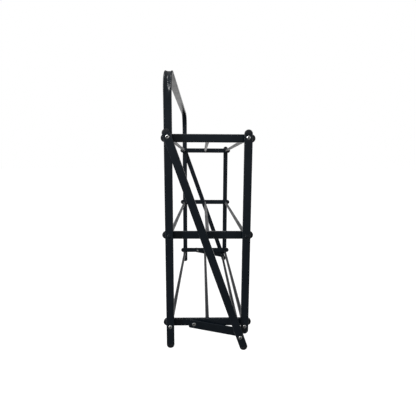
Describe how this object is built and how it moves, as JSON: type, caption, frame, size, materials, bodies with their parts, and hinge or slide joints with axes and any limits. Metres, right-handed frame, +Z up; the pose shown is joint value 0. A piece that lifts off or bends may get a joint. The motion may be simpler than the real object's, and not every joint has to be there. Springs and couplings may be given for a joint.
{
  "type": "folding luggage rack",
  "caption": "Tiered folding luggage rack: side frames of flat black steel tube carry round rails, with a bow at the back and swing-out legs tied by stays.",
  "frame": {"origin": "on the floor, midway between the side frames and midway between the front and back pivot lines", "axes": "+X across the rack's width, -Y to the front where the legs stand, +Y to the back where the bow rises, +Z up"},
  "size_m": [0.957, 0.289, 0.878],
  "materials": {
    "black_powder_coat": "semi-gloss powder coat",
    "black_plastic": "satin",
    "zinc_plate": "bright zinc plate"
  },
  "bodies": {
    "back_frame": {"back_arch": "black_powder_coat", "back_foot_left": "black_plastic", "back_foot_right": "black_plastic", "top_back_rail": "black_powder_coat", "middle_back_rail": "black_powder_coat", "bottom_back_rail": "black_powder_coat", "top_back_bolts": "zinc_plate", "middle_back_rivets": "black_powder_coat", "bottom_back_screws": "zinc_plate", "back_spacers": "black_plastic", "leg_washers": "black_plastic"},
    "top_tier": {"top_bar_left": "black_powder_coat", "top_bar_right": "black_powder_coat", "top_centre_rail": "black_powder_coat", "top_bar_caps": "black_plastic"},
    "middle_tier": {"middle_bar_left": "black_powder_coat", "middle_bar_right": "black_powder_coat", "middle_centre_rail": "black_powder_coat", "middle_bar_caps": "black_plastic"},
    "bottom_tier": {"bottom_bar_left": "black_powder_coat", "bottom_bar_right": "black_powder_coat", "bottom_centre_rail": "black_powder_coat", "bottom_bar_caps": "black_plastic", "stay_nuts": "zinc_plate"},
    "front_frame": {"front_post_left": "black_powder_coat", "front_post_right": "black_powder_coat", "front_post_top_caps": "black_plastic", "front_post_bottom_caps": "black_plastic", "top_front_rail": "black_powder_coat", "middle_front_rail": "black_powder_coat", "bottom_front_rail": "black_powder_coat", "top_front_screws": "zinc_plate", "middle_front_rivets": "black_powder_coat", "bottom_front_screws": "zinc_plate", "front_spacers": "black_plastic"},
    "leg_frame": {"leg_left": "black_powder_coat", "leg_right": "black_powder_coat", "leg_top_caps": "black_plastic", "leg_foot_left": "black_plastic", "leg_foot_right": "black_plastic", "foot_rail": "black_powder_coat", "foot_screws": "zinc_plate", "stay_collars": "black_plastic"},
    "left_stay": {"stay_left": "black_powder_coat", "stay_screw_left": "zinc_plate"},
    "right_stay": {"stay_right": "black_powder_coat", "stay_screw_right": "zinc_plate"}
  },
  "joints": [
    {"name": "fold", "type": "hinge", "parent": "back_frame", "child": "top_tier", "pos_m": [0, 0.12, 0.672], "axis": [-1, 0, 0], "range_deg": [0, 80]},
    {"name": "middle_tier_fold", "type": "hinge", "parent": "back_frame", "child": "middle_tier", "pos_m": [0, 0.12, 0.371], "axis": [-1, 0, 0], "range_deg": [0, 80]},
    {"name": "bottom_tier_fold", "type": "hinge", "parent": "back_frame", "child": "bottom_tier", "pos_m": [0, 0.12, 0.073], "axis": [-1, 0, 0], "range_deg": [0, 80]},
    {"name": "front_frame_swing", "type": "hinge", "parent": "top_tier", "child": "front_frame", "pos_m": [0, -0.12, 0.672], "axis": [-1, 0, 0], "range_deg": [-80, 0]},
    {"name": "leg_swing", "type": "hinge", "parent": "back_frame", "child": "leg_frame", "pos_m": [0, 0.12, 0.672], "axis": [-1, 0, 0], "range_deg": [-13.45, 0]},
    {"name": "left_stay_turn", "type": "hinge", "parent": "leg_frame", "child": "left_stay", "pos_m": [0, -0.105, 0.043], "axis": [-1, 0, 0], "range_deg": [-42.19, 0]},
    {"name": "right_stay_turn", "type": "hinge", "parent": "leg_frame", "child": "right_stay", "pos_m": [0, -0.105, 0.043], "axis": [-1, 0, 0], "range_deg": [-42.19, 0]}
  ],
  "couplings": [
    {"joint": "middle_tier_fold", "follows": "fold", "ratio": 1},
    {"joint": "bottom_tier_fold", "follows": "fold", "ratio": 1},
    {"joint": "front_frame_swing", "follows": "fold", "ratio": -1},
    {"joint": "leg_swing", "follows": "fold", "ratio": -0.16811},
    {"joint": "left_stay_turn", "follows": "fold", "ratio": -0.52732},
    {"joint": "right_stay_turn", "follows": "fold", "ratio": -0.52732}
  ]
}
